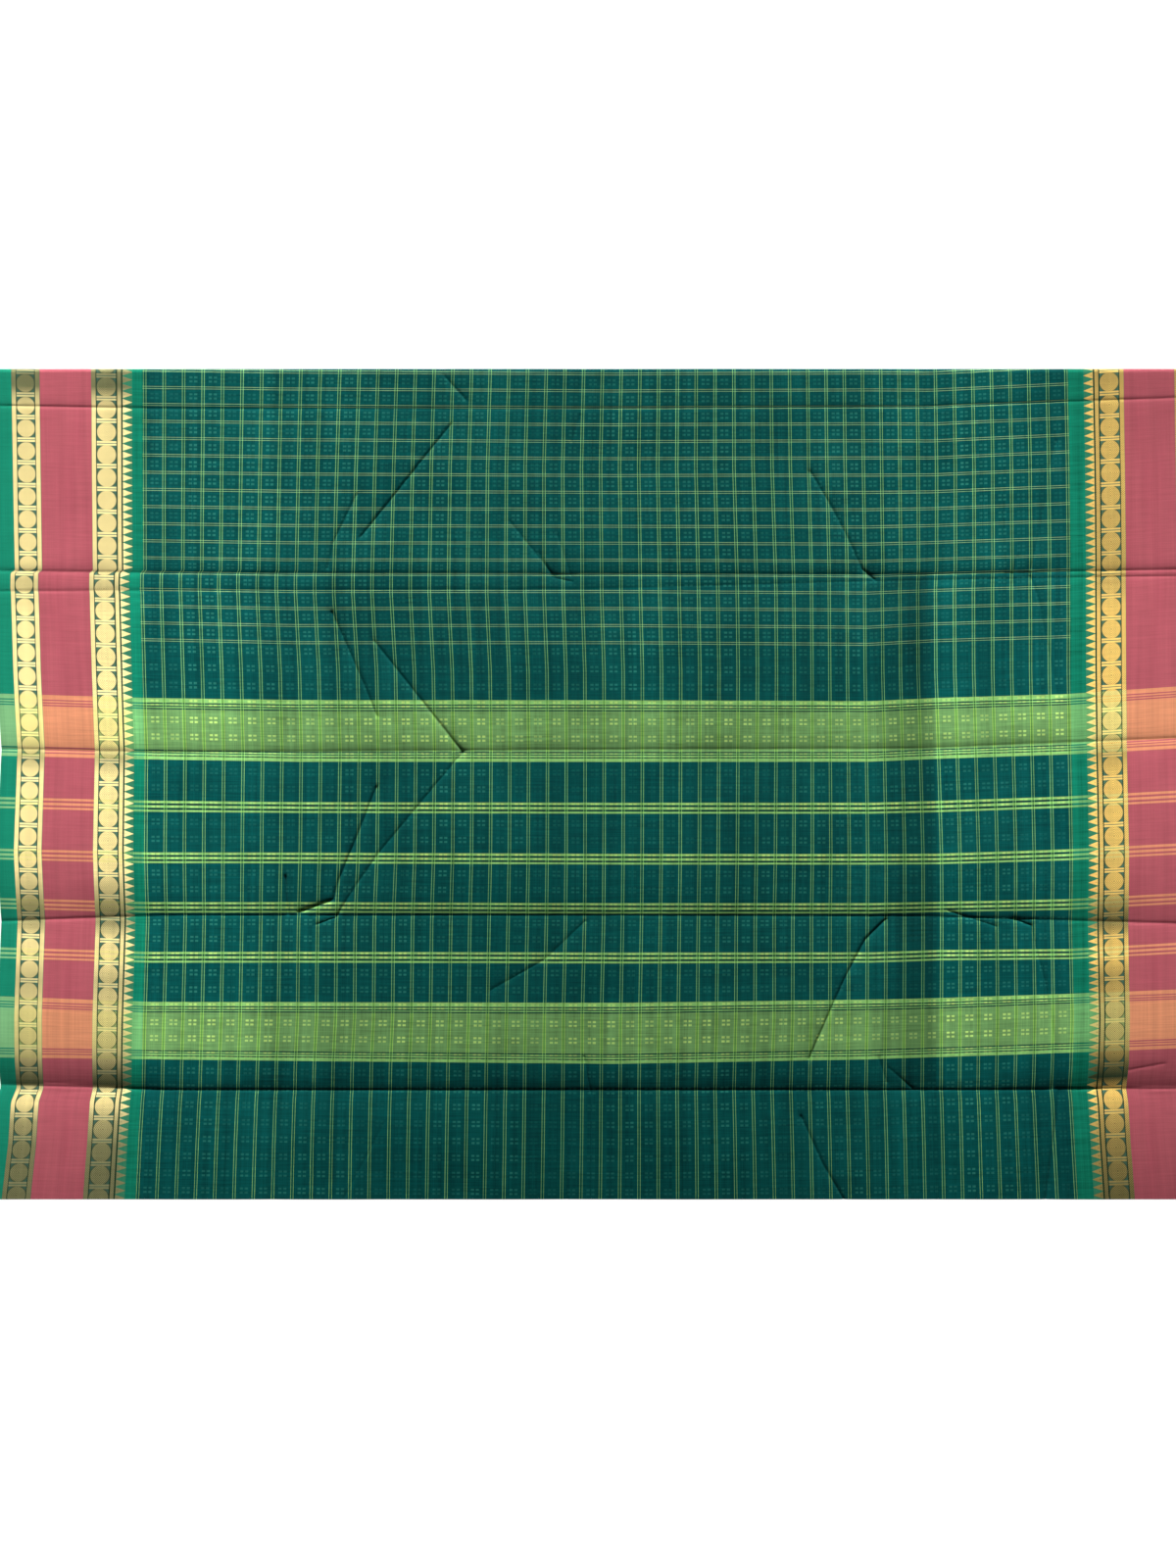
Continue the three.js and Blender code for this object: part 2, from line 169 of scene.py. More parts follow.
# Slanting creases: the points they run through, the soft depth and its reach, and the
# depth of the sharp line. A depth under nought stands up as a ridge.
SLANTING = [
    {"points": [(-165, 402), (-138, 372)], "deep": 0.9, "reach": 8, "line": 1.2},
    {"points": [(-152, 348), (-239, 239)], "deep": 1.0, "reach": 9, "line": 1.5},
    {"points": [(-243, 280), (-266, 233), (-271, 209)], "deep": 0.7, "reach": 8, "line": 1.3},
    {"points": [(-267, 166), (-236, 96), (-224, 66)], "deep": 1.3, "reach": 9, "line": 2.0},
    {"points": [(-226, 138), (-141, 31)], "deep": 1.2, "reach": 9, "line": 1.5},
    {"points": [(-141, 30), (-221, -66), (-245, -100), (-263, -129), (-282, -136)],
     "deep": 0.7, "reach": 9, "line": 1.1},
    {"points": [(-224, -3), (-243, -51), (-260, -92), (-266, -112), (-299, -124)],
     "deep": 1.2, "reach": 8, "line": 2.0},
    {"points": [(-312, -90), (-310, -126)], "deep": 1.2, "reach": 6, "line": 2.0},
    {"points": [(-27, 357), (-35, 331)], "deep": 0.5, "reach": 6, "line": 0.9},
    {"points": [(-67, 224), (-54, 200), (-35, 196)], "deep": 0.6, "reach": 6, "line": 0.7},
    {"points": [(-95, 254), (-52, 201)], "deep": 0.6, "reach": 6, "line": 0.9},
    {"points": [(-49, 241), (-36, 202)], "deep": 0.5, "reach": 5, "line": 0.9},
    {"points": [(196, 302), (218, 265), (233, 236), (246, 208), (258, 198)],
     "deep": 1.0, "reach": 8, "line": 1.6},
    {"points": [(434, 332), (425, 299), (423, 273), (414, 230), (410, 209)],
     "deep": 0.8, "reach": 8, "line": 0.9},
    {"points": [(409, 201), (417, 177), (435, 87)], "deep": 1.2, "reach": 8, "line": 1.0},
    {"points": [(396, 220), (392, 201), (395, 182)], "deep": 0.5, "reach": 5, "line": 0.5},
    {"points": [(-22, -133), (-61, -170), (-114, -200)], "deep": 0.9, "reach": 8, "line": 0.8},
    {"points": [(269, -131), (249, -151), (231, -185), (220, -209), (195, -266)],
     "deep": 1.1, "reach": 9, "line": 2.0},
    {"points": [(330, -123), (376, -138)], "deep": 0.6, "reach": 6, "line": 0.7},
    {"points": [(394, -131), (410, -137), (416, -165), (424, -195), (433, -251), (431, -294)],
     "deep": 0.9, "reach": 8, "line": 1.5},
    {"points": [(437, -299), (434, -327), (426, -385), (424, -402)],
     "deep": 1.1, "reach": 9, "line": 2.0},
    {"points": [(187, -322), (208, -368), (228, -402)], "deep": 1.1, "reach": 9, "line": 2.0},
    {"points": [(-216, -327), (-255, -400)], "deep": -0.7, "reach": 9, "line": 0.8},
    {"points": [(-23, -264), (-17, -298)], "deep": 0.6, "reach": 6, "line": 1.3},
    {"points": [(-41, -319), (-40, -402)], "deep": 0.5, "reach": 8, "line": 0.9},
    {"points": [(262, -265), (270, -289)], "deep": 0.6, "reach": 6, "line": 1.3},
    {"points": [(272, -275), (296, -296)], "deep": 0.6, "reach": 6, "line": 0.7},
    {"points": [(267, -310), (253, -383)], "deep": -0.5, "reach": 8, "line": 0.6},
    {"points": [(505, -277), (539, -271)], "deep": 0.3, "reach": 6, "line": 0.4},
]

# How soon a sharp line fades, and how near a slanting crease the mesh gets finer, in two rounds.
LINE_REACH = 1.3
FINE_BAND = 3.4
FINE_REACHES = (1.8 * FINE_BAND, 0.85 * FINE_BAND)

# How far each hidden layer's edges stay inside the top layer, on the four sides, and its
# height as a share of the whole. A fold joins it to the next one down on the side named last.
HIDDEN = [
    {"left": 4.0, "right": 5.5, "near": 5.0, "far": 2.6, "height": 0.94, "joins": "near"},
    {"left": 7.5, "right": 3.5, "near": 5.0, "far": 8.0, "height": 0.75, "joins": "far"},
    {"left": 3.0, "right": 6.5, "near": 8.5, "far": 8.0, "height": 0.565, "joins": "near"},
    {"left": 6.0, "right": 4.0, "near": 8.5, "far": 4.5, "height": 0.375, "joins": "far"},
    {"left": 4.5, "right": 7.5, "near": 4.0, "far": 4.5, "height": 0.19, "joins": "near"},
    {"left": 6.5, "right": 5.0, "near": 4.0, "far": 10.0, "height": 0.0, "joins": ""},
]


# Reading the tables
def across_table(places, rows, across, along):
    """The value of a two-way table at many points: rows run along, columns across."""
    stops = np.array([row[0] for row in rows])
    columns = [np.interp(along, stops, [row[i + 1] for row in rows]) for i in range(len(places))]
    value = columns[0].copy()
    for i in range(len(places) - 1):
        share = np.clip((across - places[i]) / (places[i + 1] - places[i]), 0, 1)
        value += (columns[i + 1] - columns[i]) * share
    return value


def cloth_x(across, along):
    """Where a warp thread lies, from its distance to the left selvedge."""
    return across - CLOTH_WIDTH / 2 + across_table(DRIFT_AT, DRIFT, across, along)


def woven_along(across, along):
    """Woven length from the hem to a point of the laid cloth."""
    level = along - across_table(BOW_AT, BOW, across, along)
    places = [row[0] for row in WOVEN]
    lengths = [row[1] for row in WOVEN]
    beyond = np.maximum(level - FOLD_Y, 0) + np.minimum(level - HEM_Y, 0)
    return np.interp(level, places, lengths) + beyond


# The form of the laid cloth
def crease_place(crease, x):
    """Where a crosswise crease runs at these places across."""
    return np.interp(x, ACROSS, crease["at"])


def distance_to_path(points, x, y):
    """Distance from many points to one bent line."""
    nearest = np.full(x.shape, 1e9)
    for (x1, y1), (x2, y2) in zip(points, points[1:]):
        dx, dy = x2 - x1, y2 - y1
        share = np.clip(((x - x1) * dx + (y - y1) * dy) / (dx * dx + dy * dy), 0, 1)
        nearest = np.minimum(nearest, np.hypot(x - x1 - share * dx, y - y1 - share * dy))
    return nearest


def by_zone(values, x):
    """A value that differs at the left border, in the field and at the right border."""
    return np.interp(x, ZONES, [values[i] for i in (0, 1, 1, 2)])


def soft_creases(x, y):
    """How far the broad troughs beside the crosswise creases lower the cloth."""
    depth = np.zeros_like(x)
    for crease in CROSSWISE:
        off = y - crease_place(crease, x)
        far_side = 1 - np.tanh(np.maximum(off, 0) / by_zone(crease["far"], x))
        near_side = np.exp(np.minimum(off, 0) / crease["near"])
        depth += by_zone(crease["deep"], x) * far_side * near_side
    return depth


def fine_creases(x, y):
    """The lengthwise and slanting creases, and the sharp line along every crease."""
    depth = np.zeros_like(x)
    for crease in CROSSWISE:
        depth += crease["line"] * np.exp(-np.abs(y - crease_place(crease, x)) / LINE_REACH)
    for crease in LENGTHWISE:
        middle = np.interp(y, [HEM_Y, FOLD_Y], [crease["near_x"], crease["far_x"]])
        off = np.abs(x - middle)
        depth += crease["deep"] * np.exp(-off / crease["reach"])
        depth += crease["line"] * np.exp(-off / LINE_REACH)
    for crease in SLANTING:
        off = distance_to_path(crease["points"], x, y)
        depth += crease["deep"] * np.exp(-off / crease["reach"])
        depth += crease["line"] * np.exp(-off / LINE_REACH)
    return depth


WAVES = np.random.default_rng(11)
WAVE_SIZES = [(0.35, 310), (0.3, 190), (0.22, 120), (0.14, 74), (0.1, 47), (0.07, 31)]
UNDULATIONS = [
    {"height": height, "length": length, "turn": WAVES.uniform(0, math.pi),
     "start": WAVES.uniform(0, 6.3)}
    for height, length in WAVE_SIZES
    for _ in range(2)
]


def undulation(x, y):
    """The slight waves that cotton keeps when it is smoothed out by hand."""
    height = np.zeros_like(x)
    for wave in UNDULATIONS:
        along = x * math.cos(wave["turn"]) + y * math.sin(wave["turn"])
        height += wave["height"] * np.sin(along * 2 * math.pi / wave["length"] + wave["start"])
    return height


# How much of the waves stays, and the deepest that fine creases may cut where the cloth is
# lowest. Elsewhere they may cut deeper by a share of its rise.
WAVE_SHARE = 0.6
LEAST_CUT = 1.0
CUT_SHARE = 0.4


def relief(x, y):
    """Height of the top layer over its lowest level."""
    return np.maximum(PILLOW - soft_creases(x, y) + WAVE_SHARE * undulation(x, y), 0)


def top_height(x, y):
    """Height of the upper face of the top layer over the floor. No crease cuts through it."""
    most = LEAST_CUT + CUT_SHARE * relief(x, y)
    return STACK_HEIGHT + LIFT + relief(x, y) - np.minimum(fine_creases(x, y), most)


def hidden_height(x, y, level):
    """Height of a hidden layer's middle over the floor."""
    return HIDDEN_THICKNESS / 2 + level * (STACK_HEIGHT + HIDDEN_SHARE * relief(x, y))


# Meshes. Past FINE_REACH from a crease, the faces grow by STEP_GROWTH of the distance.
FINE_REACH = 3
STEP_GROWTH = 0.22


def spaced(start, stop, fine, coarse, clusters):
    """Places from start to stop, close together near each cluster and coarser elsewhere."""
    places = [start]
    while places[-1] < stop:
        off = min([abs(places[-1] - c) for c in clusters] or [1e9])
        places.append(places[-1] + min(coarse, max(fine, fine + (off - FINE_REACH) * STEP_GROWTH)))
    places = np.array(places)
    return start + (places - start) * (stop - start) / (places[-1] - start)


def make_grid(name, across, along):
    """A flat grid whose corner points lie at the given places; along has one row for each line."""
    bpy.ops.object.select_all(action="DESELECT")
    columns, rows = len(across) - 1, len(along) - 1
    bpy.ops.mesh.primitive_grid_add(x_subdivisions=columns, y_subdivisions=rows, size=2)
    piece = bpy.context.object
    piece.name = name
    piece.data.name = name
    flat = np.zeros((len(along), len(across), 3))
    flat[:, :, 0] = across
    flat[:, :, 1] = along
    piece.data.vertices.foreach_set("co", flat.ravel())
    return piece


def read_all(items, what, width=1, kind=float):
    """One property of all points, faces or corners of a mesh, in rows of that width."""
    values = np.empty(len(items) * width, dtype=kind)
    items.foreach_get(what, values)
    return values.reshape(-1, width) if width > 1 else values


def subdivide_near_creases(piece):
    """Two rounds of finer faces along the slanting creases."""
    bpy.context.tool_settings.mesh_select_mode = (False, False, True)
    for reach in FINE_REACHES:
        across, along, _ = read_all(piece.data.polygons, "center", 3).T
        x = cloth_x(across, along)
        near = np.zeros(len(x), dtype=bool)
        for crease in SLANTING:
            near |= distance_to_path(crease["points"], x, along) < reach
        near &= along < BEND_Y - FINE_BAND
        bpy.ops.object.mode_set(mode="EDIT")
        bpy.ops.mesh.select_all(action="DESELECT")
        bpy.ops.object.mode_set(mode="OBJECT")
        if not near.any():
            continue
        piece.data.polygons.foreach_set("select", near)
        bpy.ops.object.mode_set(mode="EDIT")
        bpy.ops.mesh.subdivide(number_cuts=1)
        bpy.ops.mesh.select_all(action="DESELECT")
        bpy.ops.object.mode_set(mode="OBJECT")


def write_map(mesh, name, points):
    """A UV map from one (u, v) for each corner point."""
    corners = read_all(mesh.loops, "vertex_index", kind=np.int32)
    layer = mesh.uv_layers.new(name=name)
    layer.data.foreach_set("uv", points[corners].astype(np.float32).ravel())


def finish_cloth(piece, thickness, offset):
    """Gives a sheet its thickness and smooth faces."""
    solid = piece.modifiers.new("thickness", "SOLIDIFY")
    solid.thickness = thickness * MM
    solid.offset = offset
    bpy.context.view_layer.objects.active = piece
    piece.select_set(True)
    bpy.ops.object.modifier_apply(modifier=solid.name)
    bpy.ops.object.shade_smooth_by_angle(angle=math.radians(60))


# The layout for baking: the share of the picture's height for the outer side, the gap at
# each side of a strip, the lowest place for the other side, and the highest.
BAKE_OUTER = 0.94
BAKE_GUTTER = 0.004
BAKE_LINING = 0.95
BAKE_TOP = 0.99


def write_bake_map(piece, flat, outer_faces, strips):
    """Lays the outer side out as strips side by side, and the other side small above them."""
    mesh = piece.data
    corners = read_all(mesh.loops, "vertex_index", kind=np.int32)
    counts = read_all(mesh.polygons, "loop_total", kind=np.int32)
    face_of = np.repeat(np.arange(len(counts)), counts)
    share = (flat[corners] - flat.min(axis=0)) / (flat.max(axis=0) - flat.min(axis=0))
    along = np.bincount(face_of, weights=share[:, 1]) / counts
    strip = np.minimum((along * strips).astype(int), strips - 1)[face_of]
    u = (strip + BAKE_GUTTER + share[:, 0] * (1 - 2 * BAKE_GUTTER)) / strips
    v = np.clip(share[:, 1] * strips - strip, 0, 1) * BAKE_OUTER
    lining = face_of >= outer_faces
    u = np.where(lining, share[:, 0], u)
    v = np.where(lining, BAKE_LINING + share[:, 1] * (BAKE_TOP - BAKE_LINING), v)
    layer = mesh.uv_layers.new(name="OFBake")
    layer.data.foreach_set("uv", np.stack([u, v], axis=1).astype(np.float32).ravel())


# The top layer, in stretches from the left selvedge to the right one
COLUMNS = [
    {"name": "border_left_cloth", "from": 0, "to": BORDER_WIDTH,
     "nodes": ("pallu_border_left", "body_border_left"), "slot": "pallu_border"},
    {"name": "field_left_cloth", "from": BORDER_WIDTH, "to": 271,
     "nodes": ("pallu_field",), "slot": "pallu_field"},
    {"name": "field_mid_left_cloth", "from": 271, "to": 576,
     "nodes": ("pallu_field", "body_field"), "slot": "pallu_field"},
    {"name": "field_mid_right_cloth", "from": 576, "to": 900,
     "nodes": ("body_field",), "slot": "body_field"},
    {"name": "field_right_cloth", "from": 900, "to": CLOTH_WIDTH - BORDER_WIDTH,
     "nodes": ("body_field",), "slot": "body_field"},
    {"name": "border_right_cloth", "from": CLOTH_WIDTH - BORDER_WIDTH, "to": CLOTH_WIDTH,
     "nodes": ("pallu_border_right", "body_border_right"), "slot": "body_border"},
]
FINE_STEP = 1.1
COARSE_STEP = 3.7
FOLD_ROWS = 12
DROOP = 1.0
DROOP_REACH = 4.0
TURN_LENGTH = 9.0
RETURN_ROWS = 3
NARROW_COLUMN = 200
NEAR_COLUMN = 12
CREASE_COLUMNS = [274.5, 568.5, 601.5, 894.5]


def row_shares():
    """Rows between each crosswise crease and the next, as (crease, next crease, share)."""
    lines = [HEM_Y, *[crease["at"][2] for crease in CROSSWISE], BEND_Y]
    rows = []
    for i in range(len(lines) - 1):
        clusters = [c for c in (lines[i], lines[i + 1]) if c not in (HEM_Y, BEND_Y)]
        places = spaced(lines[i], lines[i + 1], FINE_STEP, COARSE_STEP, clusters)
        shares = (places - lines[i]) / (lines[i + 1] - lines[i])
        rows += [(i, share) for share in (shares if i == 0 else shares[1:])]
    return rows


def grid_rows(across):
    """Place along the cloth of every grid row at every column, measured on round the fold."""
    middle = across - CLOTH_WIDTH / 2
    lines = [np.full_like(middle, HEM_Y)]
    lines += [crease_place(crease, middle) for crease in CROSSWISE]
    lines += [np.full_like(middle, BEND_Y)]
    rows = [lines[i] * (1 - share) + lines[i + 1] * share for i, share in row_shares()]
    beyond = [TURN_LENGTH * (i + 1) / FOLD_ROWS for i in range(FOLD_ROWS)]
    beyond += [TURN_LENGTH + RETURN_LENGTH * (i + 1) / RETURN_ROWS for i in range(RETURN_ROWS)]
    rows += [np.full_like(middle, BEND_Y + length) for length in beyond]
    return np.array(rows)


def drape_top(across, along):
    """Lays flat points of the top layer in place: over the creases and round the far fold."""
    flat_along = np.minimum(along, BEND_Y)
    x = cloth_x(across, flat_along)
    z = top_height(x, flat_along)
    selvedge = np.minimum(across, CLOTH_WIDTH - across)
    z -= DROOP * np.exp(-selvedge / DROOP_REACH)
    below = hidden_height(x, flat_along, HIDDEN[0]["height"]) - HIDDEN_THICKNESS / 2
    half = (z - below) / 2
    turn = np.clip((along - BEND_Y) / TURN_LENGTH, 0, 1) * math.pi
    back = np.maximum(along - BEND_Y - TURN_LENGTH, 0)
    y = flat_along + FOLD_REACH * np.sin(turn) - back
    z = z - half * (1 - np.cos(turn))
    return x, y, z


def top_column(column):
    """One long stretch of the top layer, with finer faces beside the creases along it."""
    low, high = column["from"] - NEAR_COLUMN, column["to"] + NEAR_COLUMN
    clusters = [c for c in CREASE_COLUMNS if low < c < high]
    if column["from"] == 0:
        clusters.append(0)
    if column["to"] == CLOTH_WIDTH:
        clusters.append(CLOTH_WIDTH)
    across = spaced(column["from"], column["to"], FINE_STEP, COARSE_STEP, clusters)
    piece = make_grid(column["name"], across, grid_rows(across))
    subdivide_near_creases(piece)
    across, along, _ = read_all(piece.data.vertices, "co", 3).T
    flat = np.stack([across, along], axis=1)
    x, y, z = drape_top(across, along)
    piece.data.vertices.foreach_set("co", (np.stack([x, y, z], axis=1) * MM).ravel())
    flat_along = np.minimum(along, BEND_Y)
    woven = woven_along(across, flat_along) + along - flat_along
    write_map(piece.data, "weave", np.stack([across, woven], axis=1) * MM)
    piece.data.update()
    outer_faces = len(piece.data.polygons)
    finish_cloth(piece, CLOTH_THICKNESS, -1)
    strips = 3 if column["to"] - column["from"] < NARROW_COLUMN else 2
    write_bake_map(piece, np.concatenate([flat, flat]), outer_faces, strips)
    return piece


# The six hidden layers, with the sizes of their faces and the slight waves of their edges
HIDDEN_COARSE = 22.0
HIDDEN_FINE = 4.0
HIDDEN_ROW = 10.0
HIDDEN_BEND = 2.6
BEND_ROWS = 7
HIDDEN_STRIPS = 4
EDGE_WAVE = 0.7
LAYER_WAVE = 0.35


def hidden_path():
    """Rows of the zigzag sheet: y, level, sideways insets, in order from the first fold down."""
    rows = []
    for i, layer in enumerate(HIDDEN):
        going_near = i % 2 == 0
        ends = {"near": HEM_Y + layer["near"] + HIDDEN_BEND, "far": FOLD_Y - layer["far"] - HIDDEN_BEND}
        if i == 0:
            ends["far"] = BEND_Y - 4
        if layer["joins"] == "":
            ends["far"] = FOLD_Y - layer["far"]
        start, stop = (ends["far"], ends["near"]) if going_near else (ends["near"], ends["far"])
        count = int(abs(stop - start) / HIDDEN_ROW)
        for y in np.linspace(start, stop, count + 1):
            rows.append((y, layer["height"], layer["left"], layer["right"], i))
        if i + 1 == len(HIDDEN):
            break
        below = HIDDEN[i + 1]
        side = -1 if going_near else 1
        for step in range(1, BEND_ROWS):
            turn = math.pi * step / BEND_ROWS
            share = (1 - math.cos(turn)) / 2
            y = stop + side * HIDDEN_BEND * math.sin(turn)
            mix = [layer[key] * (1 - share) + below[key] * share for key in ("height", "left", "right")]
            rows.append((y, *mix, i + share))
    return np.array(rows)


def hidden_sheet():
    """The folded sheet under the top layer, and its flat length."""
    half = spaced(0, CLOTH_WIDTH / 2, HIDDEN_FINE, HIDDEN_COARSE, [0])
    across = np.concatenate([half, CLOTH_WIDTH - half[-2::-1]])
    path = hidden_path()
    y, level, left, right, layer = (path[:, i:i + 1] for i in range(5))
    edges = [cloth_x(np.full_like(y, u), np.clip(y, HEM_Y, FOLD_Y)) for u in (0.0, CLOTH_WIDTH)]
    share = across[None, :] / CLOTH_WIDTH
    x = (edges[0] + left) * (1 - share) + (edges[1] - right) * share
    x += EDGE_WAVE * np.sin(y / 53 + layer * 2.1) * np.abs(2 * share - 1) ** 8
    y = np.broadcast_to(y, x.shape)
    z = hidden_height(x, y, level)
    freedom = np.sin(math.pi * np.minimum(level, 0.9)) ** 0.5
    z = z + LAYER_WAVE * np.sin(x / 71 + y / 47 + layer * 1.7) * freedom
    steps = np.hypot(np.diff(path[:, 0]), STACK_HEIGHT * np.diff(path[:, 1]))
    woven = WOVEN_LENGTH + 2 * FOLD_REACH + np.concatenate([[0], np.cumsum(steps)])
    piece = make_grid("folded_layers_cloth", across, np.broadcast_to(woven[:, None], x.shape))
    flat = read_all(piece.data.vertices, "co", 3)[:, :2]
    piece.data.vertices.foreach_set("co", (np.stack([x, y, z], axis=2) * MM).ravel())
    write_map(piece.data, "weave", flat * MM)
    piece.data.update()
    outer_faces = len(piece.data.polygons)
    finish_cloth(piece, HIDDEN_THICKNESS, 0)
    write_bake_map(piece, np.concatenate([flat, flat]), outer_faces, HIDDEN_STRIPS)
    return piece, woven[-1] - woven[0]


# Weave design, in millimetres from the left selvedge and from the hem. ROPE_EDGES are the
# thin gaps beside the ropes, where the cloth under the gold shows.
PAIR_PITCH = 18.2
FIRST_PAIR = 144.1
LAST_PAIR = FIRST_PAIR + 49 * PAIR_PITCH
PAIR_HALF_GAP = 1.2
THREAD_LINE = 0.42
MOTIF_PITCH = 16.28
MOTIF_ROW = 478.8
FIRST_CHECK = MOTIF_ROW + 3.5 * MOTIF_PITCH
BAND_TOPS = (482.9, 190.1)
BAND_STRIPES = [
    {"from": 0.0, "to": 4.2},
    {"from": 5.4, "to": 6.85},
    {"from": 8.1, "to": 9.2},
    {"from": 10.45, "to": 49.4},
    {"from": 50.7, "to": 51.9},
    {"from": 52.9, "to": 54.5},
    {"from": 55.6, "to": 58.9},
]
TRIPLE_PITCH = 48.83
FIRST_TRIPLE = 234.6
TRIPLE_LINES = [
    {"from": 1.2, "to": 3.5},
    {"from": -3.1, "to": -0.7},
    {"from": -6.9, "to": -5.0},
]
ROPE_EDGES = [
    {"from": 20.3, "to": 21.0},
    {"from": 38.2, "to": 38.9},
    {"from": 97.0, "to": 97.8},
    {"from": 116.5, "to": 117.7},
    {"from": 121.3, "to": 122.9},
]
ROPES = [
    {"from": 16.4, "to": 20.3},
    {"from": 38.9, "to": 43.0},
    {"from": 93.0, "to": 97.0},
    {"from": 117.7, "to": 121.3},
]
OUTER_BEADS = {"centre": 29.6, "radius": 8.5, "half_width": 8.6}
INNER_BEADS = {"centre": 107.2, "radius": 9.1, "half_width": 9.4}
MAROON = {"from": 43.4, "to": 92.8}
GOLD_STRIPS = [{"from": 16.2, "to": 43.3}, {"from": 92.9, "to": 122.0}]
TEMPLE = {"base": 122.9, "tip": 132.6}
BEAD_PITCH = 21.7
TOOTH_PITCH = BEAD_PITCH / 3
HATCH_PITCH = 1.9
TWILL_PITCH = 2.0
TRIPLE_ROOM = 10

# Woven length from the hem to the middle of one bead in each strip
LEFT_BEADS = {"Outer beads": 521.5, "Inner beads": 519.3}
RIGHT_BEADS = {"Outer beads": 456.0, "Inner beads": 454.1}

# Painted highlight and shade on the gold: how brightly the gold thread shines, or how dark it goes as
# the cloth leans, is painted into its colour along each border. Woven length from the hem, and the
# painted shine.
LEFT_SHINE = [
    (0, 0.18), (48, 0.22), (70, 0.42), (88, 0.95), (98, 1.0), (106, 0.1), (120, 0.34),
    (138, 0.68), (180, 0.85), (208, 0.60), (228, 0.95), (250, 0.95), (266, 0.35), (278, 0.36),
    (300, 0.75), (316, 1.0), (408, 1.0), (424, 0.5), (440, 1.0), (560, 1.0), (590, 0.7),
    (612, 0.88), (740, 0.84), (764, 0.76), (772, 0.5), (780, 0.14), (801, 0.24),
]
RIGHT_SHINE = [
    (0, 0.22), (48, 0.4), (70, 0.6), (88, 0.95), (98, 1.0), (106, 0.0), (120, 0.25),
    (138, 0.6), (180, 0.7), (205, 0.5), (228, 1.0), (246, 0.9), (262, 0.2), (278, 0.5),
    (296, 0.85), (400, 0.9), (422, 0.55), (440, 0.95), (560, 0.92), (588, 0.62), (604, 0.64),
    (740, 0.76), (772, 0.72), (801, 0.5),
]


# Placing and joining shader nodes
class Wiring:
    """Adds nodes to one tree. A value is a number, a colour or another node's output."""

    def __init__(self, tree):
        self.tree = tree

    def node(self, kind, **settings):
        node = self.tree.nodes.new(kind)
        for name, value in settings.items():
            setattr(node, name, value)
        return node

    def put(self, socket, value):
        if isinstance(value, bpy.types.NodeSocket):
            self.tree.links.new(value, socket)
        else:
            socket.default_value = value

    def maths(self, operation, *values):
        node = self.node("ShaderNodeMath", operation=operation)
        for socket, value in zip(node.inputs, values):
            self.put(socket, value)
        return node.outputs[0]

    def minus(self, value, other):
        return self.maths("SUBTRACT", value, other)

    def size(self, value):
        return self.maths("ABSOLUTE", value)

    def most(self, *masks):
        result = masks[0]
        for mask in masks[1:]:
            result = self.maths("MAXIMUM", result, mask)
        return result

    def both(self, *masks):
        result = masks[0]
        for mask in masks[1:]:
            result = self.maths("MULTIPLY", result, mask)
        return result

    def ramp(self, value, low, high, at_low, at_high):
        """at_low up to the value low, at_high from the value high on, and straight between them."""
        node = self.node("ShaderNodeMapRange", clamp=True)
        for name, part in zip(("Value", "From Min", "From Max", "To Min", "To Max"),
                              (value, low, high, at_low, at_high)):
            self.put(node.inputs[name], part)
        return node.outputs["Result"]

    def strip(self, place, low, high, soft=0.25):
        """One between two places, nought outside them."""
        off = self.size(self.minus(place, (low + high) / 2))
        half = (high - low) / 2
        return self.ramp(off, half - soft / 2, half + soft / 2, 1.0, 0.0)

    def stripes(self, place, rows, soft=0.25):
        return self.most(*[self.strip(place, row["from"], row["to"], soft) for row in rows])

    def repeat(self, place, pitch, centre):
        """Signed distance from the nearest of many evenly spaced centres."""
        return self.maths("WRAP", self.minus(place, centre), pitch / 2, -pitch / 2)

    def paint(self, under, over, share):
        node = self.node("ShaderNodeMix", data_type="RGBA")
        self.put(node.inputs[0], share)
        self.put(node.inputs[6], under)
        self.put(node.inputs[7], over)
        return node.outputs[2]

    def lighten(self, colour, factor):
        node = self.node("ShaderNodeVectorMath", operation="SCALE")
        self.put(node.inputs[0], colour)
        self.put(node.inputs["Scale"], factor)
        return node.outputs[0]

    def point(self, across, along):
        node = self.node("ShaderNodeCombineXYZ")
        self.put(node.inputs[0], across)
        self.put(node.inputs[1], along)
        return node.outputs[0]

    def noise(self, across, along, across_length, along_length, detail=1.0):
        """Soft noise from 0 to 1, with blotches of about those lengths."""
        node = self.node("ShaderNodeTexNoise", noise_dimensions="2D")
        scaled_across = self.maths("DIVIDE", across, across_length)
        scaled_along = self.maths("DIVIDE", along, along_length)
        self.put(node.inputs["Vector"], self.point(scaled_across, scaled_along))
        self.put(node.inputs["Scale"], 1.0)
        self.put(node.inputs["Detail"], detail)
        return node.outputs[0]

    def table(self, value, length, rows):
        """The value of a short table of (place, value) rows from 0 to length; values stay under 2."""
        node = self.node("ShaderNodeValToRGB")
        self.put(node.inputs[0], self.maths("DIVIDE", value, length))
        stops = node.color_ramp.elements
        for i, (place, level) in enumerate(rows):
            stop = stops[i] if i < 2 else stops.new(1.0)
            stop.position = place / length
            stop.color = (level / 2, level / 2, level / 2, 1)
        return self.maths("MULTIPLY", node.outputs[0], 2.0)

    def use(self, group, **values):
        node = self.node("ShaderNodeGroup", node_tree=group)
        for name, value in values.items():
            self.put(node.inputs[name], value)
        return node.outputs


